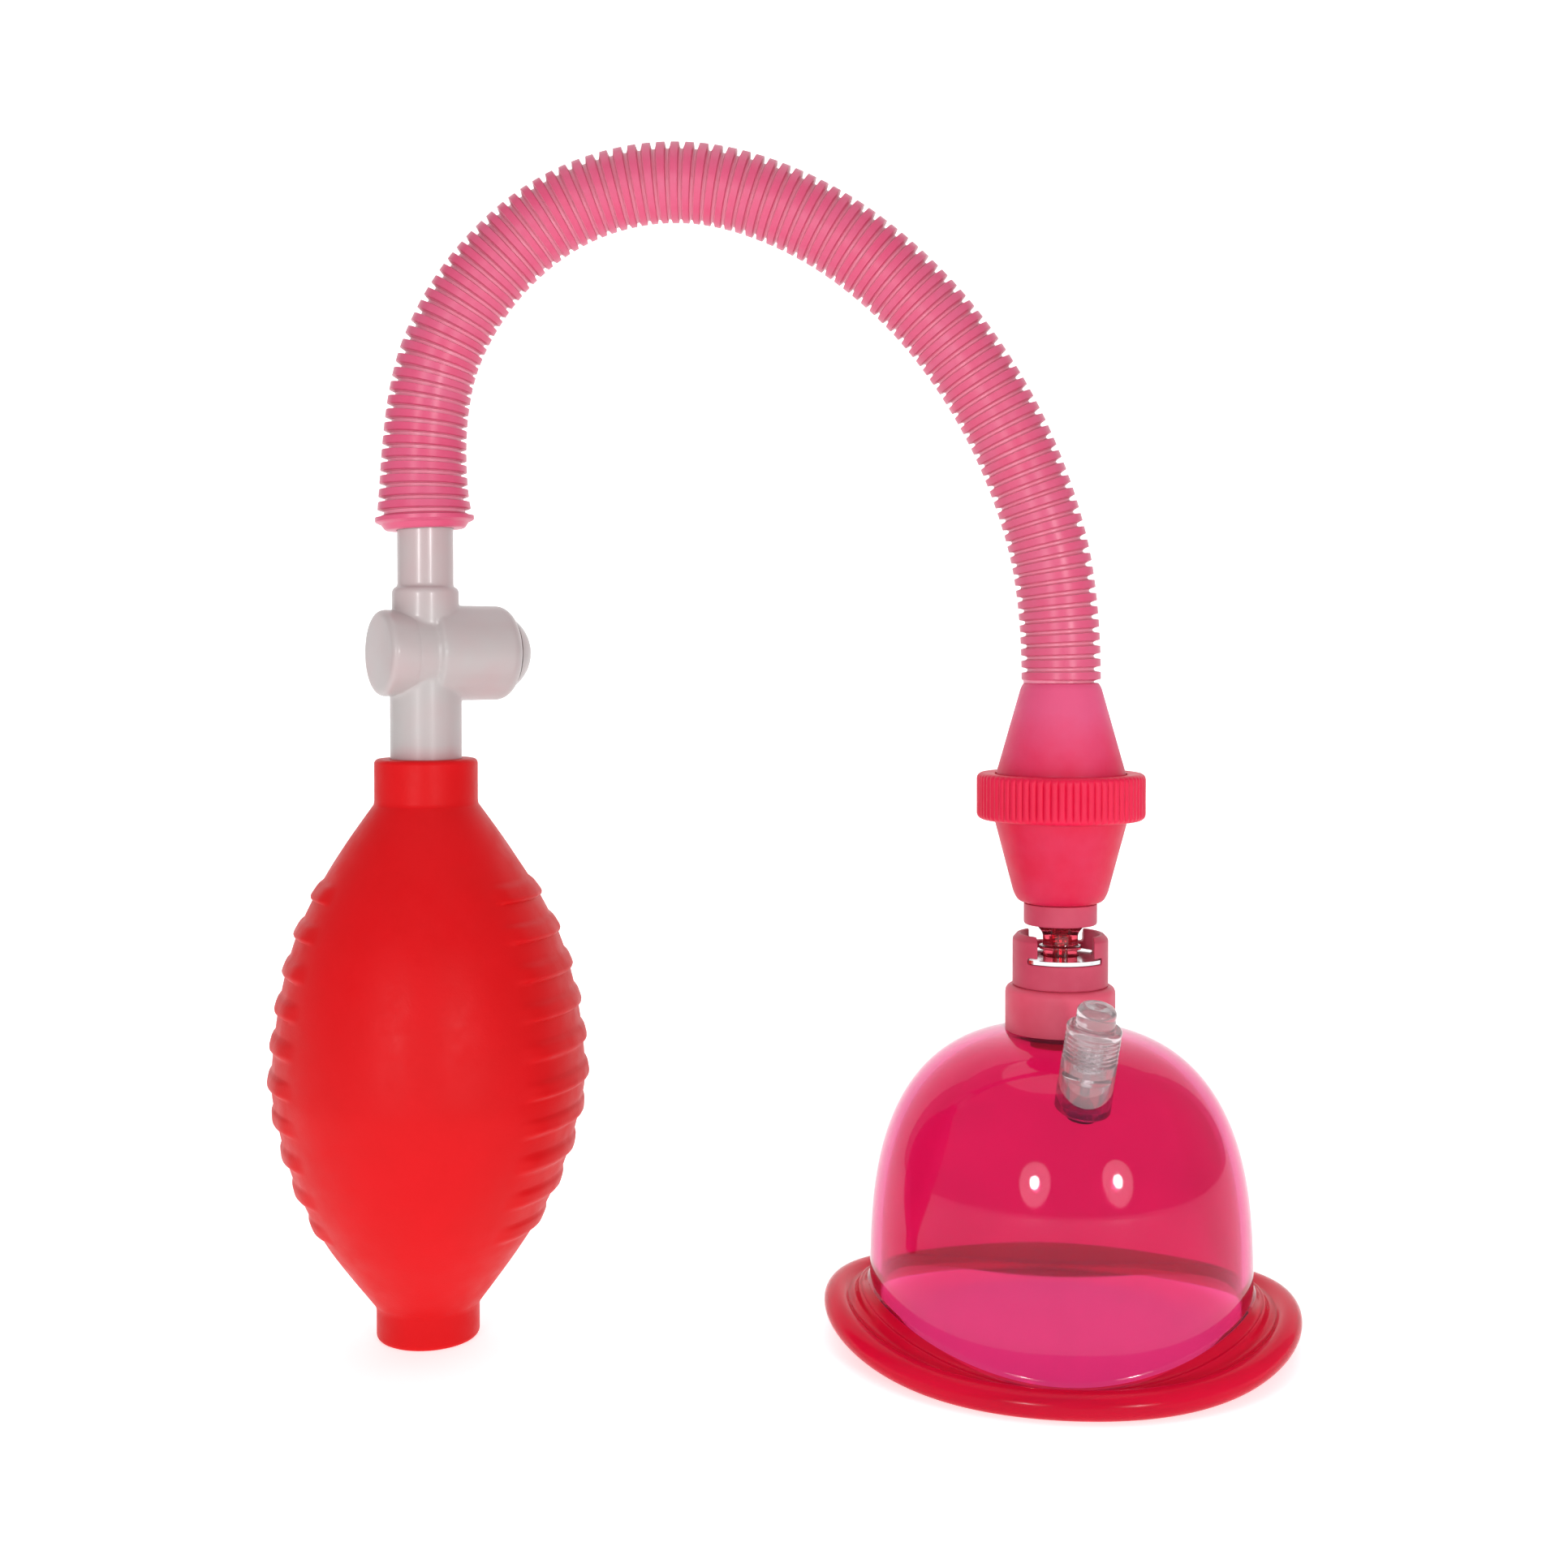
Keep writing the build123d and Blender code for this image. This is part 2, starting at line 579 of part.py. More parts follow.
across_cup = Plane(origin=(cup_x, 0, 0), z_dir=radial_plane(0).x_dir)
along_cup = Plane(origin=(cup_x, 0, 0), z_dir=radial_plane(90).x_dir)
vent_hole = Plane(origin=along(vent_base, vent_axis, -14), z_dir=vent_axis)
with BuildPart() as cup_shell:
    for angle in (-12, 0, 15, 30, 45, 60, 75, 90, 102):
        with BuildSketch(radial_plane(angle)):
            cup_outline(angle)
    loft()
    split(bisect_by=across_cup, keep=Keep.TOP)
    split(bisect_by=along_cup, keep=Keep.TOP)
    mirror(about=across_cup)
    mirror(about=along_cup)
    with BuildSketch(Plane(origin=(cup_x, 0, 50))):
        Circle(socket_hole)
    extrude(amount=12, mode=Mode.SUBTRACT)
    with BuildSketch(vent_hole):
        Circle(vent_radius + 0.05)
    extrude(amount=28, mode=Mode.SUBTRACT)
finish(cup_shell.part, "cup_shell")

# ---------------------------------------------------------------- vent valve
vent_up = Vector(*vent_axis).normalized()
vent_across = Vector(vent_up.Z, 0, -vent_up.X).normalized()
vent_section = Plane(origin=vent_base, x_dir=vent_across, z_dir=vent_across.cross(vent_up))
vent_line = Axis(vent_base, vent_up)

with BuildPart() as vent_body:
    with BuildSketch(vent_section):
        outline((1.8, vent_bottom), (4.3, vent_bottom), (vent_radius, vent_bottom + 0.6),
                (vent_radius, 4.6), (vent_radius - 0.3, 4.9), (vent_radius, 5.2),
                (vent_radius, vent_top - 0.3), (vent_radius - 0.3, vent_top), (3.63, vent_top),
                (3.63, 1.0), (1.0, 1.0), (1.0, -0.5), (3.0, -0.5), (3.0, -5.6), (1.8, -5.6))
    revolve(axis=vent_line)
    with BuildSketch(Plane(origin=along(vent_base, vent_axis, -1.7), z_dir=(0, -1, -0.23))):
        Circle(1.0)
    extrude(amount=6, mode=Mode.SUBTRACT)
finish(vent_body.part, "vent_body")

with BuildPart() as vent_button:
    with BuildSketch(vent_section):
        outline((0, 6.4), (vent_button_radius, 6.4), (vent_button_radius, vent_button_top - 0.9),
                (vent_button_radius - 0.9, vent_button_top), (0, vent_button_top - 0.3))
    revolve(axis=vent_line)
finish(vent_button.part, "vent_button")

with BuildPart() as vent_stem:
    with BuildSketch(vent_section):
        outline((0, -8.4), (0.9, -8.4), (0.9, 6.4), (0, 6.4))
    revolve(axis=vent_line)
finish(vent_stem.part, "vent_stem")

with BuildPart() as vent_poppet:
    with BuildSketch(vent_section):
        outline((0.9, -8.2), (2.6, -8.2), (2.6, vent_bottom - seat_gap),
                (0.9, vent_bottom - seat_gap))
    revolve(axis=vent_line)
finish(vent_poppet.part, "vent_poppet")

with BuildPart() as vent_spring:
    coil_spring(along(vent_base, vent_axis, 1.35), vent_axis, 4.7, 2.5, 0.3, 5)
finish(vent_spring.part, "vent_spring")
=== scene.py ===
"""Hand-bulb vacuum pump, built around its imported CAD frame. Blender units are metres.

Turned pieces are drawn as closed outlines of (radius, height) in millimetres. Heights count
from the floor for the upright pieces, and from the given origin along the axis for the rest.
A third number gives that corner its own rounding.
"""
import json
import math

import bmesh
import bpy
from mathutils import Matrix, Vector


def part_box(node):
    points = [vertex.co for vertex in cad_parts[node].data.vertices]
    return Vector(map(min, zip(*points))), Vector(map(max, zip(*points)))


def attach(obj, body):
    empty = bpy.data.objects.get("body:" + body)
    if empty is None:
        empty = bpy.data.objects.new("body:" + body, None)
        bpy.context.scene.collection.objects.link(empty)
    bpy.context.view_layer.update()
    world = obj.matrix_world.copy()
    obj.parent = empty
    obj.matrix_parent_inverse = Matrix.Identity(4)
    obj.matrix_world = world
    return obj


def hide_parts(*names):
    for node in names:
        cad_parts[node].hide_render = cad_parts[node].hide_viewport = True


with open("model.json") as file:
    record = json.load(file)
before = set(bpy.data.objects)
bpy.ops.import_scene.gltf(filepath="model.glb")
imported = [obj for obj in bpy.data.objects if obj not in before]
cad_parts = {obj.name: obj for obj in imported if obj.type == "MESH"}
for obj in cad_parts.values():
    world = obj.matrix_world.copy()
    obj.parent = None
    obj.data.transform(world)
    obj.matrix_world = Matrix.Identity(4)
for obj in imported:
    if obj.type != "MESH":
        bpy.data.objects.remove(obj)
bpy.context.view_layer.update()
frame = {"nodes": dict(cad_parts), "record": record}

MM = 0.001


# ---------------------------------------------------------------- places from the frame
def middle(node, axis):
    """Middle of a CAD node's box along one axis, in millimetres."""
    low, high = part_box(node)
    return (low[axis] + high[axis]) / 2 / MM


def top(node):
    """Highest point of a CAD node, in millimetres."""
    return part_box(node)[1][2] / MM


def bottom(node):
    """Lowest point of a CAD node, in millimetres."""
    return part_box(node)[0][2] / MM


def joint_axis(name):
    """Unit axis of a joint of the record."""
    for joint in frame["record"]["behaviour"]["joints"]:
        if joint["name"] == name:
            return Vector(joint["axis"]).normalized()
    raise KeyError(name)


BULB_X = middle("squeeze_bulb", 0)
CUP_X = middle("union_nut", 0)
BARREL_Z = middle("release_button", 2)
VENT_BASE = Vector((53.75, -21.4, 54.0))
VENT_UP = -joint_axis("vent_press")
BARREL_OUT = -joint_axis("release_press")
UP = Vector((0, 0, 1))
BULB_FOOT = Vector((BULB_X, 0, 0))
CUP_FOOT = Vector((CUP_X, 0, 0))
BARREL_CENTRE = Vector((BULB_X, 0, BARREL_Z))


# ---------------------------------------------------------------- mesh helpers
def mesh_piece(name, points, faces, material, body, replaced=(), crease=40,
               second=None, uses_second=()):
    """A smooth-shaded object from points in millimetres, riding on its body.

    uses_second holds the numbers of the faces that take the second material.
    """
    mesh = bpy.data.meshes.new(name)
    mesh.from_pydata([tuple(p * MM for p in point) for point in points], [], faces)
    for number in uses_second:
        mesh.polygons[number].material_index = 1
    mesh.validate()
    work = bmesh.new()
    work.from_mesh(mesh)
    bmesh.ops.recalc_face_normals(work, faces=work.faces)
    work.to_mesh(mesh)
    work.free()
    mesh.shade_smooth()
    mesh.set_sharp_from_angle(angle=math.radians(crease))
    piece = bpy.data.objects.new(name, mesh)
    bpy.context.scene.collection.objects.link(piece)
    piece.data.materials.append(material)
    if second:
        piece.data.materials.append(second)
    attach(piece, body)
    if replaced:
        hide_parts(*replaced)
    return piece


def softened(outline, radius, steps=4):
    """The closed outline with each corner off the axis rounded to about radius."""
    result = []
    count = len(outline)
    for i, corner in enumerate(outline):
        here = Vector(corner[:2])
        size = corner[2] if len(corner) > 2 else radius
        before = Vector(outline[i - 1][:2]) - here
        after = Vector(outline[(i + 1) % count][:2]) - here
        size = min(size, 0.45 * before.length, 0.45 * after.length)
        if size < 0.01 or here.x < 1e-6:
            result.append((here.x, here.y))
            continue
        start = here + before.normalized() * size
        end = here + after.normalized() * size
        for step in range(steps + 1):
            t = step / steps
            point = start * (1 - t) ** 2 + here * 2 * t * (1 - t) + end * t ** 2
            result.append((max(point.x, 0), point.y))
    return result


def side_axes(axis):
    """Two unit vectors square to an axis, the first as near +X as it can be."""
    across = (Vector((1, 0, 0)) - axis * axis.x).normalized()
    return across, axis.cross(across)


def turned(outline, origin, axis=UP, segments=96, shape=None):
    """Points and faces of a closed outline turned about an axis.

    shape(radius, height, angle) may move a point of the outline at an angle.
    """
    across, along = side_axes(axis)
    points, faces, rings = [], [], []
    for radius, height in outline:
        if radius < 1e-6:
            rings.append([len(points)])
            points.append(origin + axis * height)
            continue
        rings.append(list(range(len(points), len(points) + segments)))
        for k in range(segments):
            angle = 2 * math.pi * k / segments
            r, h = shape(radius, height, angle) if shape else (radius, height)
            side = across * math.cos(angle) + along * math.sin(angle)
            points.append(origin + side * r + axis * h)
    for a, b in zip(rings, rings[1:] + rings[:1]):
        if len(a) == 1 and len(b) == 1:
            continue
        for k in range(segments):
            n = (k + 1) % segments
            if len(a) == 1:
                faces.append((a[0], b[k], b[n]))
            elif len(b) == 1:
                faces.append((a[n], a[k], b[0]))
            else:
                faces.append((a[n], a[k], b[k], b[n]))
    return points, faces


def arc(centre, radius, start, end, steps=8):
    """Points of an arc between two angles in degrees."""
    angles = [math.radians(start + (end - start) * i / steps) for i in range(steps + 1)]
    return [(centre[0] + radius * math.cos(a), centre[1] + radius * math.sin(a))
            for a in angles]


def flowing(points, steps=8):
    """A smooth line through the points (Catmull-Rom)."""
    padded = [points[0]] + list(points) + [points[-1]]
    result = []
    for a, b, c, d in zip(padded, padded[1:], padded[2:], padded[3:]):
        a, b, c, d = Vector(a), Vector(b), Vector(c), Vector(d)
        for step in range(steps):
            t = step / steps
            point = 0.5 * (2 * b + (c - a) * t + (2 * a - 5 * b + 4 * c - d) * t ** 2
                           + (3 * b - a - 3 * c + d) * t ** 3)
            result.append(tuple(point))
    result.append(tuple(points[-1]))
    return result


# ---------------------------------------------------------------- materials
class Surface:
    """A Principled material with colour mottling, roughness variation and fine bump.

    Each layer hangs on object coordinates. fixed names further inputs of the shader.
    """

    def __init__(self, name, colour, roughness, **fixed):
        self.material = bpy.data.materials.new(name)
        self.material.use_nodes = True
        self.tree = self.material.node_tree
        self.shader = self.tree.nodes["Principled BSDF"]
        self.colour = colour
        self.shader.inputs["Base Color"].default_value = (*colour, 1)
        self.shader.inputs["Roughness"].default_value = roughness
        for socket, value in fixed.items():
            self.shader.inputs[socket.replace("_", " ")].default_value = value
        self.place = self.node("ShaderNodeTexCoord").outputs["Object"]
        self.height = None

    def node(self, kind, **values):
        made = self.tree.nodes.new(kind)
        for key, value in values.items():
            setattr(made, key, value)
        return made

    def link(self, source, target):
        self.tree.links.new(source, target)

    def noise(self, scale, detail=3.0):
        made = self.node("ShaderNodeTexNoise")
        made.inputs["Scale"].default_value = scale
        made.inputs["Detail"].default_value = detail
        made.inputs["Roughness"].default_value = 0.55
        self.link(self.place, made.inputs["Vector"])
        return made.outputs["Fac"]

    def ramp(self, source, stops):
        made = self.node("ShaderNodeValToRGB")
        for _ in range(len(stops) - 2):
            made.color_ramp.elements.new(0.5)
        for element, (position, colour) in zip(made.color_ramp.elements, stops):
            element.position = position
            element.color = (*colour, 1)
        self.link(source, made.inputs["Fac"])
        return made.outputs["Color"]

    def mottled(self, scale, other):
        """Base colour drifts between the main colour and another one."""
        drift = self.ramp(self.noise(scale), [(0.35, self.colour), (0.7, other)])
        self.link(drift, self.shader.inputs["Base Color"])
        return self

    def painted_light_by_height(self, low_mm, high_mm, other, scale=120):
        """Base colour turns into another one between two heights, with an uneven edge; this
        paints light into the colour.
        """
        apart = self.node("ShaderNodeSeparateXYZ")
        self.link(self.place, apart.inputs["Vector"])
        span = self.node("ShaderNodeMapRange")
        span.inputs["From Min"].default_value = low_mm * MM
        span.inputs["From Max"].default_value = high_mm * MM
        self.link(apart.outputs["Z"], span.inputs["Value"])
        uneven = self.node("ShaderNodeMath", operation="MULTIPLY_ADD")
        self.link(self.noise(scale), uneven.inputs[0])
        uneven.inputs[1].default_value = 0.5
        self.link(span.outputs["Result"], uneven.inputs[2])
        drift = self.ramp(uneven.outputs["Value"], [(0.2, self.colour), (0.96, other)])
        self.link(drift, self.shader.inputs["Base Color"])
        return self

    def worn(self, scale, low, high):
        """Roughness drifts between two values."""
        span = self.node("ShaderNodeMapRange")
        span.inputs["From Min"].default_value = 0.3
        span.inputs["From Max"].default_value = 0.7
        span.inputs["To Min"].default_value = low
        span.inputs["To Max"].default_value = high
        self.link(self.noise(scale, 4.0), span.inputs["Value"])
        self.link(span.outputs["Result"], self.shader.inputs["Roughness"])
        return self

    def grained(self, scale, depth_mm, strength=0.5):
        """Fine surface grain; call again to lay a coarser grain over it."""
        bump = self.node("ShaderNodeBump")
        bump.inputs["Strength"].default_value = strength
        bump.inputs["Distance"].default_value = depth_mm * MM
        self.link(self.noise(scale, 4.0), bump.inputs["Height"])
        if self.height:
            self.link(self.height, bump.inputs["Normal"])
        self.height = bump.outputs["Normal"]
        self.link(self.height, self.shader.inputs["Normal"])
        return self


def bulb_rubber():
    made = Surface("bulb_rubber", (0.64, 0.005, 0.008), 0.4, Specular_IOR_Level=0.12,
                   Subsurface_Weight=0.1, Subsurface_Scale=0.002)
    made.mottled(90, (0.61, 0.005, 0.007)).worn(260, 0.36, 0.52)
    return made.grained(2600, 0.05).grained(160, 0.12, strength=0.3).material


def milky_plastic():
    made = Surface("milky_plastic", (0.45, 0.415, 0.41), 0.36, Specular_IOR_Level=0.45,
                   Coat_Weight=0.25, Coat_Roughness=0.16)
    # pink below about 112 mm, towards the bulb: painted red bounce light from the bulb
    made.painted_light_by_height(112, 101, (0.58, 0.20, 0.24), 60).worn(90, 0.32, 0.42)
    return made.grained(1500, 0.02, strength=0.3).material


def hose_vinyl(name, colour, other, transmission):
    made = Surface(name, colour, 0.34, Transmission_Weight=transmission, IOR=1.4)
    made.mottled(110, other).worn(200, 0.28, 0.4)
    return made.grained(1500, 0.03, strength=0.3).material


def frosted(name, colour, other, transmission, fade=None):
    made = Surface(name, colour, 0.45, Transmission_Weight=transmission, IOR=1.4,
                   Specular_IOR_Level=0.3)
    # with a fade, light is painted into the colour between two heights
    if fade:
        made.painted_light_by_height(*fade, other)
    else:
        made.mottled(120, other)
    return made.worn(300, 0.4, 0.52).grained(2200, 0.05).material


def tinted_glass(name, colour, roughness, transmission, bend=1.46, shine=0.5):
    made = Surface(name, colour, roughness, Transmission_Weight=transmission, IOR=bend,
                   Specular_IOR_Level=shine)
    made.mottled(60, tuple(0.93 * c for c in colour)).worn(180, roughness, roughness + 0.05)
    return made.grained(120, 0.02, strength=0.06).material


def metal(name, colour, low, high, scale=900):
    made = Surface(name, colour, low, Metallic=1.0)
    made.mottled(scale, tuple(0.85 * c for c in colour)).worn(scale, low, high)
    return made.grained(scale * 3, 0.01, strength=0.3).material


def seal_rubber():
    made = Surface("seal_rubber", (0.035, 0.032, 0.033), 0.55)
    made.mottled(500, (0.06, 0.055, 0.055)).worn(700, 0.45, 0.65)
    return made.grained(1800, 0.03).material


def natural_plastic():
    made = Surface("natural_plastic", (0.72, 0.69, 0.66), 0.4, Subsurface_Weight=0.3,
                   Subsurface_Scale=0.002)
    return made.mottled(300, (0.62, 0.58, 0.56)).grained(900, 0.04).material


def pressed_felt():
    made = Surface("pressed_felt", (0.78, 0.72, 0.70), 0.9, Sheen_Weight=0.4)
    return made.mottled(1800, (0.55, 0.50, 0.49)).grained(2500, 0.25, strength=0.9).material


RUBBER = bulb_rubber()
MILKY = milky_plastic()
VINYL = hose_vinyl("pink_hose", (0.70, 0.085, 0.19), (0.69, 0.12, 0.23), 0.12)
# the paler pink for the hose's groove faces is painted light: the backdrop's light through the
# thin groove walls, lifting the grooves' shade
VINYL_PAINTED_GROOVE_LIGHT = hose_vinyl("pink_hose_painted_groove_light", (0.84, 0.30, 0.42), (0.82, 0.24, 0.36), 0.1)
# lighter pink towards the cone's top, from 105 to 124 mm: a painted highlight
UPPER_PINK = frosted("frosted_pink_upper", (0.90, 0.014, 0.09), (0.90, 0.12, 0.28), 0.3,
                     (105, 124))
NUT_PINK = frosted("frosted_pink_nut", (0.86, 0.012, 0.075), (0.82, 0.008, 0.06), 0.2)
LOWER_PINK = frosted("frosted_pink_lower", (0.90, 0.012, 0.08), (0.90, 0.03, 0.12), 0.4)
PALE_PINK = frosted("pale_pink", (0.72, 0.085, 0.16), (0.66, 0.065, 0.13), 0.25)
BASE_PINK = frosted("pale_pink_base", (0.92, 0.13, 0.22), (0.86, 0.10, 0.18), 0.25)
DEEP_RED = tinted_glass("deep_red_clear", (0.88, 0.10, 0.16), 0.04, 0.94)
DOME_PINK = tinted_glass("clear_pink", (0.77, 0.055, 0.25), 0.03, 0.95, 1.33, 0.4)
BRIM_RED = tinted_glass("clear_pink_thick", (0.80, 0.008, 0.05), 0.14, 0.5, 1.25, 0.12)
CLEAR = tinted_glass("clear_plastic", (0.90, 0.80, 0.82), 0.07, 0.84, 1.42)
STEEL = metal("polished_steel", (0.82, 0.82, 0.84), 0.08, 0.2)
SPRING = metal("spring_steel", (0.62, 0.62, 0.64), 0.2, 0.35, 1500)
SEAL = seal_rubber()
NATURAL = natural_plastic()
FELT = pressed_felt()


def dress(material, *nodes):
    """Give CAD nodes that keep their own shape a finished material."""
    for node in nodes:
        piece = frame["nodes"][node]
        if not piece.material_slots:
            piece.data.materials.append(material)
        for slot in piece.material_slots:
            slot.link = "OBJECT"
            slot.material = material


dress(SPRING, "release_spring", "plug_spring", "latch_spring", "socket_spring", "vent_spring")
dress(STEEL, "latch_plate", "plug_pin", "vent_stem")
dress(SEAL, "release_seal", "plug_seal", "coupler_seal", "socket_gasket",
      "exhaust_valve_disc", "inlet_valve_disc", "vent_poppet")
dress(NATURAL, "exhaust_valve_body", "inlet_valve_seat", "release_poppet", "socket_poppet")
dress(PALE_PINK, "hose_barb", "thrust_washer")
dress(FELT, "coupler_filter")


# ---------------------------------------------------------------- camera
def add_camera():
    """Just above the T valve's height, 351 mm in front of the pump, tipped down a little."""
    data = bpy.data.cameras.new("camera")
    data.sensor_width = 36
    data.lens = 42.86
    data.shift_y = -0.0589
    data.clip_start = 0.01
    camera = bpy.data.objects.new("camera", data)
    camera.location = (0, -0.351, 0.1294)
    tipped_down = 1.25
    camera.rotation_euler = (math.radians(90 - tipped_down), 0, 0)
    bpy.context.scene.collection.objects.link(camera)
    bpy.context.scene.camera = camera


add_camera()


# ---------------------------------------------------------------- hose
HOSE_FOOT = 152.2
CONE_TOP = 123.4
HOSE_ROUTE = [
    (BULB_X, 0, HOSE_FOOT), (-68.5, 0, 174.4), (-59.7, 0, 196.5), (-41.9, 0, 213.1),
    (-18.7, 0, 218.5), (5.1, 0, 211.2), (25.2, 0, 195.8), (40.1, 0, 175.3),
    (49.1, 0, 153.2), (52.1, 0, 134.6), (CUP_X, 0, CONE_TOP),
]
HOSE_RADIUS = 7.4
HOSE_BORE = 5.35
BORE_WAVE = 0.25
RIB_PITCH = 2.34
RIB_SHARE = 0.66        # of the pitch
RIB_SLOPE = 0.07        # of the pitch, on each side of a rib
STEPS_PER_RIB = 13
GROOVE_DEPTH = 1.25
GROOVE_CLOSING = 0.72   # share of the depth lost on the inside of a full bend
BEND_STEPS = 12
FULL_BEND = 0.085       # rise of the line over 2 * BEND_STEPS that counts as a full bend
CUFF_ROUND = 0.35
CUFF_TAPER = 0.85
FLANGE_FROM = 1.2
FLANGE_TO = 2.4
CUFF_TOP = 2.7
FIRST_RIB = 0.8         # above the cuff
FLARE = 1.4
FLARE_REACH = 10


def hose_line():
    """Points of the smooth line that the hose follows, in millimetres."""
    curve = bpy.data.curves.new("hose_route", "CURVE")
    curve.dimensions = "3D"
    curve.resolution_u = 24
    spline = curve.splines.new("NURBS")
    spline.points.add(len(HOSE_ROUTE) - 1)
    for point, place in zip(spline.points, HOSE_ROUTE):
        point.co = (*(c * MM for c in place), 1)
    spline.order_u = 3
    spline.use_endpoint_u = True
    route = bpy.data.objects.new("hose_route", curve)
    mesh = bpy.data.meshes.new_from_object(route)
    line = [v.co / MM for v in mesh.vertices]
    bpy.data.objects.remove(route)
    bpy.data.curves.remove(curve)
    bpy.data.meshes.remove(mesh)
    return line


def evenly(line, spacing):
    """Points about spacing apart along a line, and each one's distance from the start."""
    reach = [0.0]
    for a, b in zip(line, line[1:]):
        reach.append(reach[-1] + (b - a).length)
    count = max(2, round(reach[-1] / spacing))
    points, at, k = [], [], 0
    for i in range(count + 1):
        want = reach[-1] * i / count
        while k < len(line) - 2 and reach[k + 1] < want:
            k += 1
        t = (want - reach[k]) / max(reach[k + 1] - reach[k], 1e-9)
        points.append(line[k].lerp(line[k + 1], t))
        at.append(want)
    return points, at


def rib_height(distance):
    """0 in a groove and 1 on a rib, with short slopes between them."""
    phase = (distance / RIB_PITCH) % 1.0
    if phase < RIB_SLOPE:
        return phase / RIB_SLOPE
    if phase < RIB_SHARE:
        return 1.0
    if phase < RIB_SHARE + RIB_SLOPE:
        return 1 - (phase - RIB_SHARE) / RIB_SLOPE
    return 0.0


def hose_outside(distance, depth):
    """Outer radius of the hose: a cuff with a thin flange, then flared ribs, then even ones."""
    if distance < CUFF_ROUND:
        return 7.2 + 0.4 * (distance / CUFF_ROUND) ** 0.5
    if distance < FLANGE_FROM:
        return 7.6 + 0.6 * (distance - CUFF_ROUND) / CUFF_TAPER
    if distance < FLANGE_FROM + CUFF_ROUND:
        return 8.2 + 0.9 * ((distance - FLANGE_FROM) / CUFF_ROUND) ** 0.5
    if distance < FLANGE_TO:
        return 9.15
    flare = FLARE * math.exp(-(distance - FLANGE_TO) / FLARE_REACH)
    if distance < CUFF_TOP:
        return HOSE_RADIUS + flare - 0.6 * depth
    return HOSE_RADIUS + flare - depth * (1 - rib_height(distance - CUFF_TOP - FIRST_RIB))


def add_hose():
    """The corrugated hose, with shallower grooves on the inside of its bends."""
    path, at = evenly(hose_line(), RIB_PITCH / STEPS_PER_RIB)
    segments = 64
    across = Vector((0, 1, 0))
    rings_out, rings_in, points, grooves = [], [], [], []
    for i, (centre, distance) in enumerate(zip(path, at)):
        ahead = path[min(i + 1, len(path) - 1)] - path[max(i - 1, 0)]
        outward = across.cross(ahead.normalized()) * -1
        before = path[max(i - BEND_STEPS, 0)]
        after = path[min(i + BEND_STEPS, len(path) - 1)]
        bend = min(1.0, ((before + after) / 2 - centre).length / FULL_BEND)
        ribs = 1.0
        if distance > CUFF_TOP:
            ribs = rib_height(distance - CUFF_TOP - FIRST_RIB)
        grooves.append(ribs < 0.5)
        for bore in (False, True):
            ring = []
            for k in range(segments):
                angle = 2 * math.pi * k / segments
                side = outward * math.cos(angle) + across * math.sin(angle)
                inside = max(0.0, -math.cos(angle)) * bend
                depth = GROOVE_DEPTH * (1 - GROOVE_CLOSING * inside)
                if bore:
                    radius = HOSE_BORE - BORE_WAVE * (1 - ribs)
                else:
                    radius = hose_outside(distance, depth)
                ring.append(len(points))
                points.append(centre + side * radius)
            (rings_in if bore else rings_out).append(ring)
    faces, thin = [], []
    for rings in (rings_out, rings_in):
        for i, (a, b) in enumerate(zip(rings, rings[1:])):
            for k in range(segments):
                n = (k + 1) % segments
                # thin holds the outer groove faces, which take the paler pink: painted light
                # through the thin groove walls
                if grooves[i] and rings is rings_out:
                    thin.append(len(faces))
                faces.append((a[k], a[n], b[n], b[k]))
    for a, b in ((rings_in[0], rings_out[0]), (rings_out[-1], rings_in[-1])):
        for k in range(segments):
            n = (k + 1) % segments
            faces.append((a[k], a[n], b[n], b[k]))
    hose = mesh_piece("hose_corrugated", points, faces, VINYL, "pump",
                      ("hose",), crease=35, second=VINYL_PAINTED_GROOVE_LIGHT, uses_second=thin)


add_hose()


# ---------------------------------------------------------------- squeeze bulb
NECK = 9.6
NECK_BORE = 6.65
RIDGE_PITCH = 6.9
RIDGE_TALL = 3.4
RIDGE_PROUD = 0.7
RIDGE_HEIGHTS = [85.0 - RIDGE_PITCH * i for i in range(10)]
GRIP_LOW = 18
GRIP_HIGH = 90
GRIP_INNER = 14
GRIP_FADE = (0.70, 0.14)    # cosine from the side where the bars start, and their fade
BULB_LEAN = 0.6


def grip(radius, height, angle):
    """Bars moulded on the bulb's two sides, fading out towards its front and back."""
    if radius < GRIP_INNER or not GRIP_LOW < height < GRIP_HIGH:
        return radius, height
    side = abs(math.cos(angle))
    fade = max(0.0, min(1.0, (side - GRIP_FADE[0]) / GRIP_FADE[1]))
    fade = fade * fade * (3 - 2 * fade)
    proud = 0.0
    for ridge in RIDGE_HEIGHTS:
        gap = (height - ridge) / (RIDGE_TALL / 2)
        if abs(gap) < 1:
            proud = (1 - abs(gap) ** 5) * (1 - 0.35 * gap)
    up = (height - GRIP_LOW) / (GRIP_HIGH - GRIP_LOW)
    lean = BULB_LEAN * math.cos(angle) * math.sin(math.pi * up)
    return radius + RIDGE_PROUD * fade * proud + lean, height


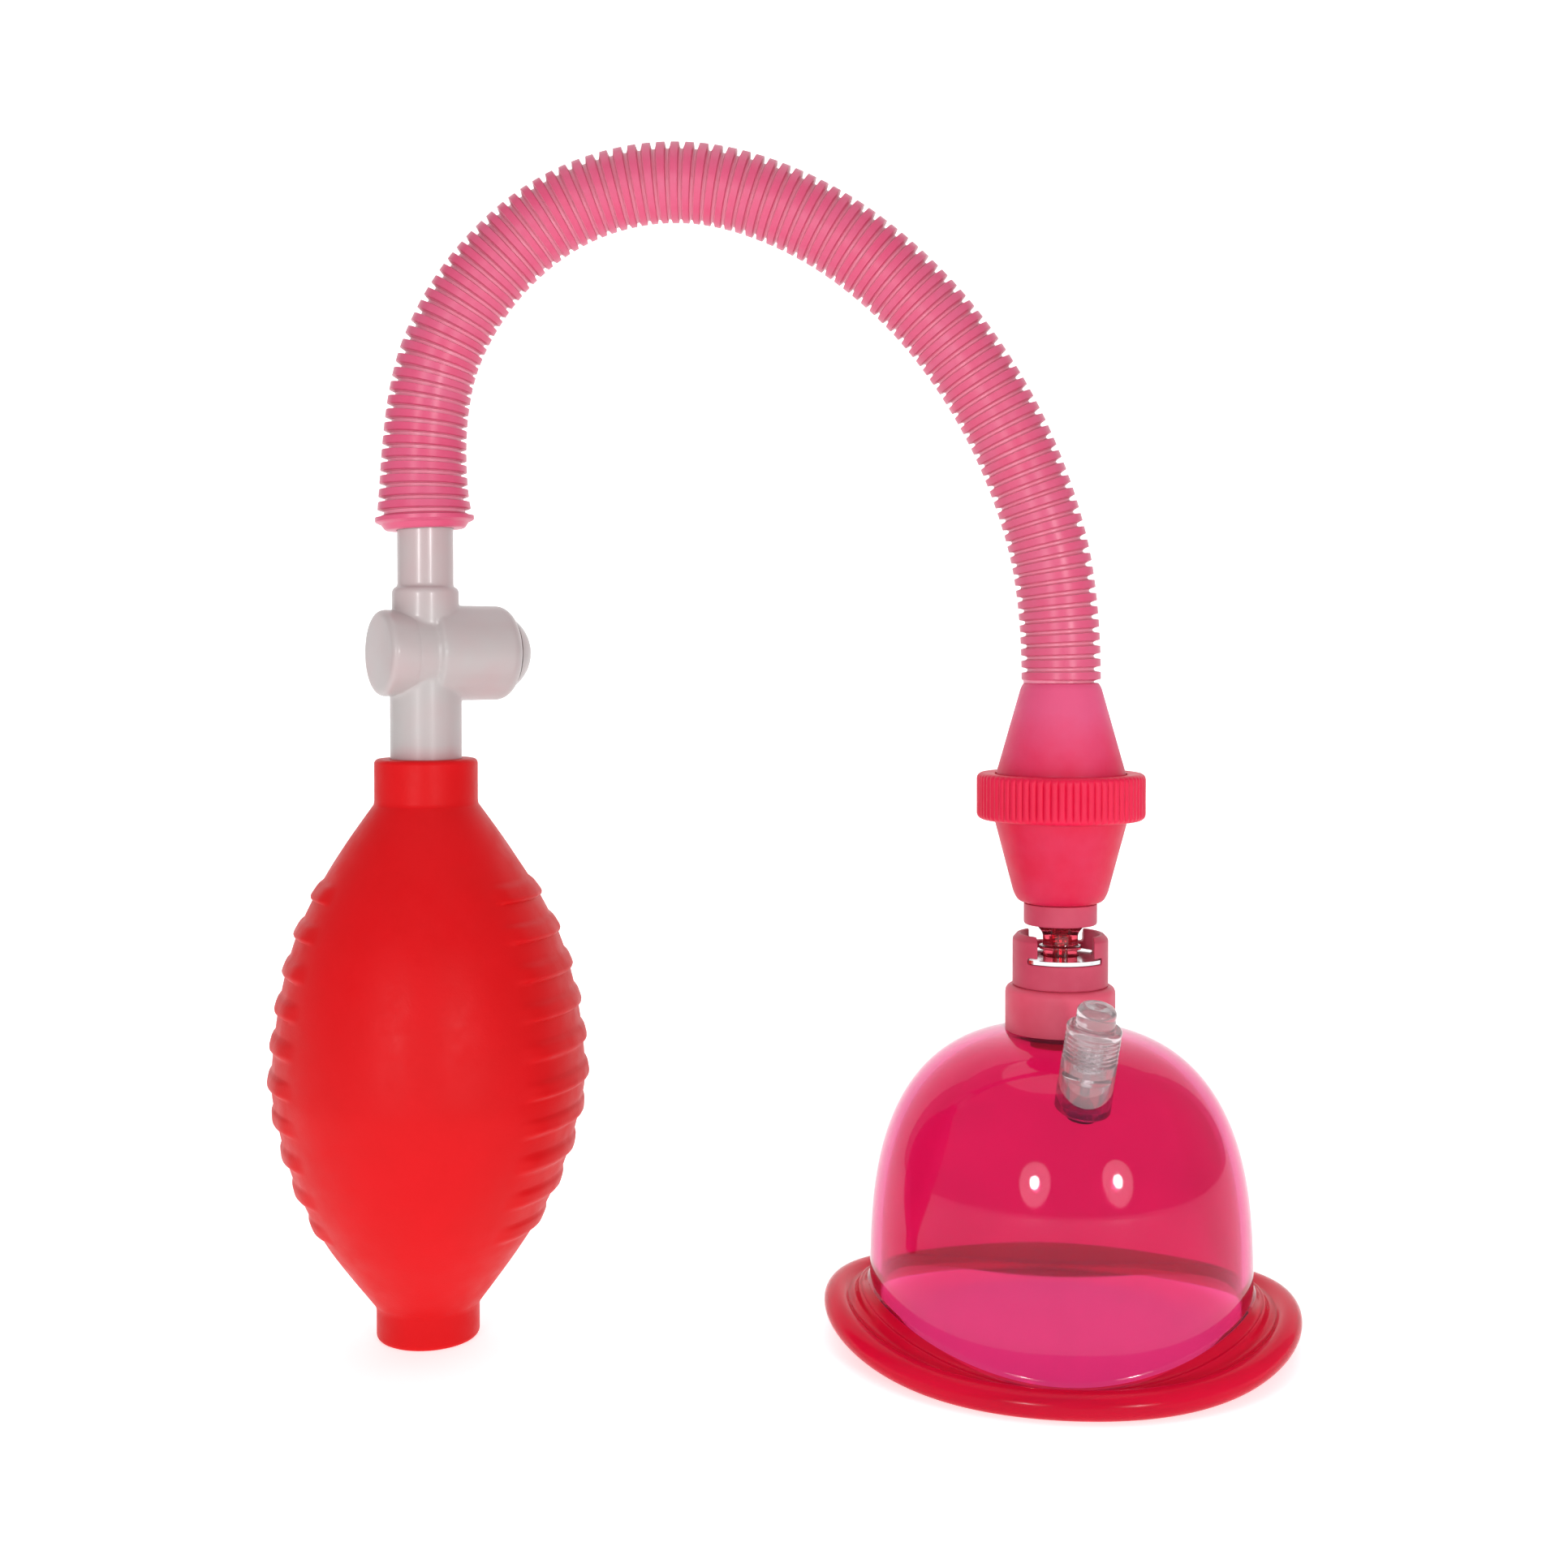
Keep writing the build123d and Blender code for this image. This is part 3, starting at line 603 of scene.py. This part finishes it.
def add_bulb():
    """The bulb's outside, its two necks and the hollow in it, as one turned outline."""
    high, low_neck, high_neck = top("squeeze_bulb"), 6.2, 100.8
    side = flowing([(NECK, low_neck), (19.1, 19.5), (25.0, 31.7), (28.3, 43.9),
                    (29.0, 51.0), (27.7, 63.0), (24.9, 74.4), (20.8, 83.6), (15.2, 92.8),
                    (NECK, high_neck)], 26)
    inside = flowing([(NECK_BORE, 94.5), (12.0, 91.6), (18.2, 83.0), (22.6, 74.0),
                      (25.5, 63.0), (26.7, 51.0), (26.0, 43.9), (22.7, 32.4), (16.6, 21.0),
                      (11.3, 14.2), (NECK_BORE, 12.0)], 5)
    outline = arc((NECK - 1.0, 1.0), 1.0, -90, 0, 5) + [(NECK, low_neck - 0.6)]
    outline += side[1:-1] + [(NECK, high_neck + 0.6)]
    outline += arc((NECK - 0.9, high - 0.9), 0.9, 0, 90, 5)
    outline += [(NECK_BORE + 0.05, high)] + inside + [(NECK_BORE, 0.0)]
    points, faces = turned(outline, BULB_FOOT, segments=240, shape=grip)
    mesh_piece("bulb_with_grips", points, faces, RUBBER, "pump",
               ("squeeze_bulb",), crease=50)


add_bulb()


# ---------------------------------------------------------------- T release valve
def smoothed_copy(node, name, material, body, voxel_mm, rounds):
    """A copy of a CAD node with its edges and inner corners melted into small fillets."""
    source = frame["nodes"][node]
    mesh = source.data.copy()
    mesh.name = name
    mesh.materials.clear()
    piece = bpy.data.objects.new(name, mesh)
    bpy.context.scene.collection.objects.link(piece)
    remesh = piece.modifiers.new("remesh", "REMESH")
    remesh.mode = "VOXEL"
    remesh.voxel_size = voxel_mm * MM
    smooth = piece.modifiers.new("smooth", "SMOOTH")
    smooth.factor = 0.5
    smooth.iterations = rounds
    graph = bpy.context.evaluated_depsgraph_get()
    made = bpy.data.meshes.new_from_object(piece.evaluated_get(graph))
    made.name = name
    piece.modifiers.clear()
    piece.data = made
    made.materials.clear()
    made.materials.append(material)
    made.shade_smooth()
    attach(piece, body)
    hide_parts(node)
    return piece


def add_valve():
    """The T with its barrel, the flat plug in its short arm and the domed button."""
    body = smoothed_copy("valve_body", "valve_body_moulded", MILKY, "pump",
                         voxel_mm=0.24, rounds=13)
    # the barrel's rounded shoulder is drawn in, so that the domed button stands out of it
    shoulder, drawn_in = 13.5, 0.23
    for vertex in body.data.vertices:
        reach = (vertex.co / MM - BARREL_CENTRE).dot(BARREL_OUT)
        if reach > shoulder:
            vertex.co -= BARREL_OUT * (drawn_in * (reach - shoulder) * MM)
    plug = [(0, -3.2), (7.4, -3.2), (7.98, -3.7), (8.04, -4.4), (8.04, -9.3, 1.4), (0, -9.3)]
    points, faces = turned(softened(plug, 0.2, 6), BARREL_CENTRE, BARREL_OUT)
    mesh_piece("valve_end_cap", points, faces, MILKY, "pump",
               ("valve_end_plug",))
    crown = arc((0, 12.8), 7.98, 30.9, 90, 16)
    button = [(0, 5.4), (1.9, 5.4), (1.9, 12.0), (6.9, 12.0), (6.9, 16.2), (6.5, 16.35),
              (6.5, 16.8)]
    points, faces = turned(button + crown, BARREL_CENTRE, BARREL_OUT)
    mesh_piece("release_button_domed", points, faces, MILKY, "release",
               ("release_button",))


add_valve()


# ---------------------------------------------------------------- union coupling
def add_union():
    """The union's two cones and the knurled ring that holds them together."""
    upper = [(5.5, CONE_TOP), (7.0, CONE_TOP, 0.3), (7.55, 122.4, 0.4), (12.05, 106.5),
             (12.05, 104.4), (13.2, 104.4), (13.2, 102.6), (10.0, 102.6), (10.0, 106.4),
             (5.5, 116.5)]
    points, faces = turned(softened(upper, 0.15), CUP_FOOT, segments=128)
    mesh_piece("upper_cone_frosted", points, faces, UPPER_PINK, "pump",
               ("coupler_upper_cone",))
    lower = [(4.9, 82.0), (6.6, 82.0, 0.3), (8.0, 82.5, 0.6), (8.8, 83.9, 0.8),
             (12.45, 97.8), (12.45, 98.6), (13.37, 99.2), (13.37, 99.7), (12.9, 100.0),
             (13.37, 100.3), (13.37, 100.7), (12.9, 101.0), (13.37, 101.3), (13.37, 102.0),
             (10.0, 102.0), (10.0, 100.2), (10.4, 97.8), (7.2, 84.2), (4.9, 84.0)]
    points, faces = turned(softened(lower, 0.12), CUP_FOOT, segments=128)
    mesh_piece("lower_cone_frosted", points, faces, LOWER_PINK, "pump",
               ("coupler_lower_cone",))
    low, high = bottom("union_nut"), top("union_nut")
    outer, edge = 15.75, 1.1
    knurls, knurl_inner, knurl_depth, knurl_fade = 72, 14.6, 0.42, 1.5

    def knurl(radius, height, angle):
        """Rounded bars round the ring, fading out at its two edges."""
        if radius < knurl_inner:
            return radius, height
        fade = max(0.0, min(1.0, min(height - low, high - height) / knurl_fade))
        wave = abs(math.sin(knurls * angle / 2))
        return radius - knurl_depth * fade * (1 - wave ** 0.6), height

    levels = [low + edge + (high - low - 2 * edge) * i / 12 for i in range(13)]
    nut = arc((outer - edge, low + edge), edge, -90, 0, 5)[:-1]
    nut += [(outer, level) for level in levels]
    nut += arc((outer - edge, high - edge), edge, 0, 90, 5)[1:]
    nut += softened([(12.35, high, 0.25), (12.35, 105.2), (13.45, 105.2), (13.45, low, 0.3)],
                    0.1)
    points, faces = turned(nut, CUP_FOOT, segments=knurls * 10, shape=knurl)
    mesh_piece("union_nut_knurled", points, faces, NUT_PINK, "nut",
               ("union_nut",))


add_union()


# ---------------------------------------------------------------- quick-connect
def add_plug():
    """The stepped collar with its barbed tail, and the clear red nozzle below it."""
    collar = [(3.0, 78.0), (6.85, 78.0, 0.5), (6.85, 81.95, 0.2), (4.82, 81.95),
              (4.82, 84.3), (6.2, 84.5), (6.4, 85.3), (5.0, 87.2), (5.0, 88.6), (6.4, 89.6),
              (6.4, 90.6), (5.0, 92.2), (5.0, 93.4), (6.4, 94.4), (6.2, 95.4), (4.6, 96.6),
              (3.0, 96.6)]
    points, faces = turned(softened(collar, 0.35), CUP_FOOT)
    mesh_piece("plug_collar_moulded", points, faces, PALE_PINK, "plug",
               ("plug_collar",))
    nozzle = [(1.0, 66.2), (2.8, 66.2), (3.2, 66.8), (3.2, 67.65), (2.45, 67.65),
              (2.45, 69.15), (3.2, 69.15), (3.2, 73.3), (4.0, 73.3, 0.25), (4.0, 74.0, 0.25),
              (3.3, 74.0, 0.4), (3.3, 76.2, 0.6), (4.7, 78.0), (3.0, 78.0), (3.0, 81.4),
              (0.75, 81.4), (0.75, 79.4), (1.55, 79.4), (1.55, 74.0), (1.0, 74.0)]
    points, faces = turned(softened(nozzle, 0.08), CUP_FOOT)
    mesh_piece("plug_nozzle_clear", points, faces, DEEP_RED, "plug",
               ("plug_nozzle",))


def add_socket():
    """The socket with its two ears, and the stepped base that joins it to the cup."""
    smoothed_copy("socket_body", "socket_body_moulded", PALE_PINK, "cup",
                  voxel_mm=0.2, rounds=4)
    base = [(5.5, 54.6), (5.5, 58.0), (6.6, 58.0), (6.6, 58.6), (8.6, 58.6), (8.6, 58.0),
            (10.3, 58.0, 0.15), (10.3, 66.5, 1.5), (6.0, 66.5), (6.0, 58.6), (1.3, 58.6),
            (1.3, 57.4), (4.3, 57.4), (4.3, 54.6)]
    points, faces = turned(softened(base, 0.05, 6), CUP_FOOT)
    mesh_piece("socket_base_moulded", points, faces, BASE_PINK, "cup",
               ("socket_base",))


add_plug()
add_socket()


# ---------------------------------------------------------------- suction cup
WALL = 2.0
DOME_HALF = 35.8
DOME_TOP = 58.6
DOME_LOW = 10.0         # the wall goes straight down below this height
DOME_POWER = 2.75
DOME_FLAT = 0.1         # how much less deep than wide the dome is at its foot
DOME_STEPS = 36
WALL_STEPS = 6
SEAT = (10.3, 58.0)
HOLE = (5.6, 7.5)
FOOT = 3.0              # where the wall meets the brim, at the cup's front
FOOT_RISE = 8.0         # and how much higher that is at its sides
RIM_HALF = (44.5, 42.4)
RIM_RISE = 3.8
RIM_YAW = math.radians(-6.0)
BEAD = 2.5
BRIM_STEPS = 24
BRIM_FULL = 5.0         # a brim this wide or wider has its full trough
BRIM_TROUGH = 1.3
RIDGE_AT = 0.42
RIDGE_WIDTH = 0.13


def oval(half_width, half_depth, angle):
    """Radius of an oval at an angle in radians from its width axis."""
    return 1 / math.hypot(math.cos(angle) / half_width, math.sin(angle) / half_depth)


def dome_place(half_width, shrink, angle):
    """Radius at an angle of the dome's oval of that half-width: round on top, oval below."""
    ratio = 1 - DOME_FLAT * (half_width / (DOME_HALF - shrink)) ** 2
    return oval(half_width, half_width * ratio, angle)


def cup_section(angle):
    """Closed section of the cup in the radial plane at an angle, and the brim's share of it."""
    side = math.cos(angle) ** 2
    foot = FOOT + FOOT_RISE * side
    bead_z = BEAD + RIM_RISE * side * side
    bead_r = oval(RIM_HALF[0] - BEAD, RIM_HALF[1] - BEAD, angle)

    def wall_line(shrink, low, start_half):
        """Points down the dome's wall; the inner face is shrunk by the wall."""
        line = []
        full, tall = DOME_HALF - shrink, DOME_TOP - DOME_LOW - shrink
        for i in range(DOME_STEPS + 1):
            turn = i / DOME_STEPS * math.pi / 2
            half = start_half + (full - start_half) * math.sin(turn)
            share = min(1.0, half / full)
            z = DOME_LOW + tall * (1 - share ** DOME_POWER) ** (1 / DOME_POWER)
            line.append((dome_place(half, shrink, angle), z))
        straight_from = line[-1][1]
        for i in range(1, WALL_STEPS + 1):
            z = straight_from + (low - straight_from) * i / WALL_STEPS
            line.append((dome_place(full, shrink, angle), z))
        return line

    outer = wall_line(0, foot, SEAT[0])
    inner = wall_line(WALL, foot - WALL - 0.2, SEAT[0] - 1.0)
    foot_r = outer[-1][0]
    start = Vector((foot_r + 0.4, foot - 0.4))
    end = Vector((bead_r - 0.8 * BEAD, bead_z + 0.6 * BEAD))
    brim = []
    room = min((end - start).length, BRIM_FULL) / BRIM_FULL
    for i in range(1, BRIM_STEPS):
        t = i / BRIM_STEPS
        point = start.lerp(end, t)
        trough = BRIM_TROUGH * math.sin(math.pi * t) ** 0.8
        ridge = math.exp(-((t - RIDGE_AT) / RIDGE_WIDTH) ** 2)
        brim.append((point.x, point.y - room * (trough - ridge)))
    bead = arc((bead_r, bead_z), BEAD, 143, -126, 22)
    under = (inner[-1][0] + 0.6, inner[-1][1] - 0.1)
    section = [(HOLE[0], SEAT[1]), (HOLE[1], SEAT[1]), SEAT] + outer[1:]
    brim_from = len(section)
    section += [tuple(start)] + brim + bead
    brim_to = len(section)
    section += [under] + inner[::-1]
    section += [(HOLE[1], inner[0][1]), (HOLE[0], inner[0][1])]
    return section, range(brim_from, brim_to)


def drilled(piece, radius, low, high, origin, axis):
    """Cut a round hole through a piece, from low to high along an axis."""
    points, faces = turned([(0, low), (radius, low), (radius, high), (0, high)],
                           origin, axis, segments=64)
    mesh = bpy.data.meshes.new("drill")
    mesh.from_pydata([tuple(p * MM) for p in points], [], faces)
    drill = bpy.data.objects.new("drill", mesh)
    bpy.context.scene.collection.objects.link(drill)
    cut = piece.modifiers.new("hole", "BOOLEAN")
    cut.operation = "DIFFERENCE"
    cut.solver = "EXACT"
    cut.object = drill
    graph = bpy.context.evaluated_depsgraph_get()
    made = bpy.data.meshes.new_from_object(piece.evaluated_get(graph))
    piece.modifiers.clear()
    piece.data = made
    bpy.data.objects.remove(drill)
    made.shade_smooth()
    made.set_sharp_from_angle(angle=math.radians(50))


def add_cup():
    """The cup as one skin round its closed section, with the vent's hole through the dome."""
    segments = 288
    points, rings = [], []
    for k in range(segments):
        angle = 2 * math.pi * k / segments
        turn = angle + RIM_YAW
        side = Vector((math.cos(turn), math.sin(turn), 0))
        section, brim = cup_section(angle)
        rings.append(list(range(len(points), len(points) + len(section))))
        points += [CUP_FOOT + side * r + UP * z for r, z in section]
    faces, thick = [], []
    for a, b in zip(rings, rings[1:] + rings[:1]):
        for i in range(len(a)):
            n = (i + 1) % len(a)
            if i in brim:
                thick.append(len(faces))
            faces.append((a[i], a[n], b[n], b[i]))
    cup = mesh_piece("cup_clear", points, faces, DOME_PINK, "cup",
                     ("cup_shell",), crease=50, second=BRIM_RED, uses_second=thick)
    drilled(cup, radius=5.0, low=-12, high=10, origin=VENT_BASE, axis=VENT_UP)


add_cup()


# ---------------------------------------------------------------- vent valve
def add_vent():
    """The leaning vent valve: its body with thread lines and a port, and its dished button."""
    outer, thread_depth, thread_step = 4.95, 0.28, 0.42
    body = [(1.8, -7.0), (4.3, -7.0, 0.2), (outer, -6.4, 0.2), (outer, 3.6), (4.6, 4.0)]
    body += [(outer - thread_depth * (i % 2), 4.4 + thread_step * i) for i in range(11)]
    body += [(outer, 9.3, 0.2), (4.6, 9.6, 0.15), (3.63, 9.6, 0.15), (3.63, 1.0), (1.0, 1.0),
             (1.0, -0.5), (3.0, -0.5), (3.0, -5.6), (1.8, -5.6)]
    points, faces = turned(softened(body, 0.1, 3), VENT_BASE, VENT_UP, segments=80)
    vent = mesh_piece("vent_body_clear", points, faces, CLEAR, "cup",
                      ("vent_body",))
    port_drop, port_out = 1.7, Vector((0, -0.975, -0.224))
    drilled(vent, radius=1.0, low=0, high=6, origin=VENT_BASE - port_drop * VENT_UP,
            axis=port_out)
    button = [(0, 6.4), (3.55, 6.4, 0.2), (3.55, 9.9, 0.1), (3.35, 10.1, 0.1),
              (3.55, 10.3, 0.1), (3.55, 12.6, 0.5), (2.7, 13.5, 0.5), (1.2, 13.35, 0.5),
              (0, 13.0)]
    points, faces = turned(softened(button, 0.2, 4), VENT_BASE, VENT_UP, segments=80)
    mesh_piece("vent_button_clear", points, faces, CLEAR, "vent",
               ("vent_button",))


add_vent()


# ---------------------------------------------------------------- floor and light
def add_stage():
    """A pale floor that curves up into a backdrop."""
    points, faces = [], []
    half, front, back, bend, high = 2.4, -2.0, 1.1, 0.5, 3.0
    line = [(front, 0.0), (back, 0.0)]
    line += [(back + bend * math.sin(a), bend - bend * math.cos(a))
             for a in (math.pi / 2 * i / 16 for i in range(1, 17))]
    line.append((back + bend, high))
    for y, z in line:
        points += [(-half, y, z), (half, y, z)]
    for i in range(len(line) - 1):
        faces.append((2 * i, 2 * i + 1, 2 * i + 3, 2 * i + 2))
    mesh = bpy.data.meshes.new("backdrop")
    mesh.from_pydata(points, [], faces)
    mesh.shade_smooth()
    backdrop = bpy.data.objects.new("backdrop", mesh)
    bpy.context.scene.collection.objects.link(backdrop)
    paper = Surface("paper", (0.88, 0.88, 0.88), 0.8, Emission_Strength=0.6)
    paper.shader.inputs["Emission Color"].default_value = (1, 1, 1, 1)
    paper.grained(300, 0.05, strength=0.1)
    mesh.materials.append(paper.material)


def add_lamp(name, place, aim, size, power):
    """A round area lamp at a place, turned towards its aim."""
    data = bpy.data.lights.new(name, "AREA")
    data.shape = "DISK"
    data.size = size
    data.energy = power
    lamp = bpy.data.objects.new(name, data)
    lamp.location = place
    lamp.rotation_euler = (Vector(aim) - Vector(place)).to_track_quat("-Z", "Y").to_euler()
    bpy.context.scene.collection.objects.link(lamp)


def add_light():
    """White sky, two small bright lamps for the highlights, and wider soft ones."""
    world = bpy.data.worlds.new("studio")
    bpy.context.scene.world = world
    world.use_nodes = True
    sky = world.node_tree.nodes["Background"]
    sky.inputs["Color"].default_value = (1, 1, 1, 1)
    # the sky lights the pump softly, and is as white as the paper where it is seen
    sky_light, sky_seen = 0.4, 1.05
    seen = world.node_tree.nodes.new("ShaderNodeLightPath")
    strength = world.node_tree.nodes.new("ShaderNodeMath")
    strength.operation = "MULTIPLY_ADD"
    strength.inputs[1].default_value = sky_seen - sky_light
    strength.inputs[2].default_value = sky_light
    world.node_tree.links.new(seen.outputs["Is Camera Ray"], strength.inputs[0])
    world.node_tree.links.new(strength.outputs["Value"], sky.inputs["Strength"])
    aim = (0.02, 0, 0.08)
    add_lamp("umbrella_left", (-0.34, -0.98, 0.22), aim, 0.10, 1.6)
    add_lamp("umbrella_right", (0.50, -0.92, 0.22), aim, 0.10, 1.6)
    add_lamp("glow_left", (-0.35, -1.01, 0.23), aim, 0.34, 1.1)
    add_lamp("glow_right", (0.515, -0.95, 0.23), aim, 0.34, 1.1)
    add_lamp("overhead", (0, 0.1, 1.4), (0, 0, 0), 1.2, 4)
    bpy.context.scene.view_settings.view_transform = "Standard"


add_stage()
add_light()
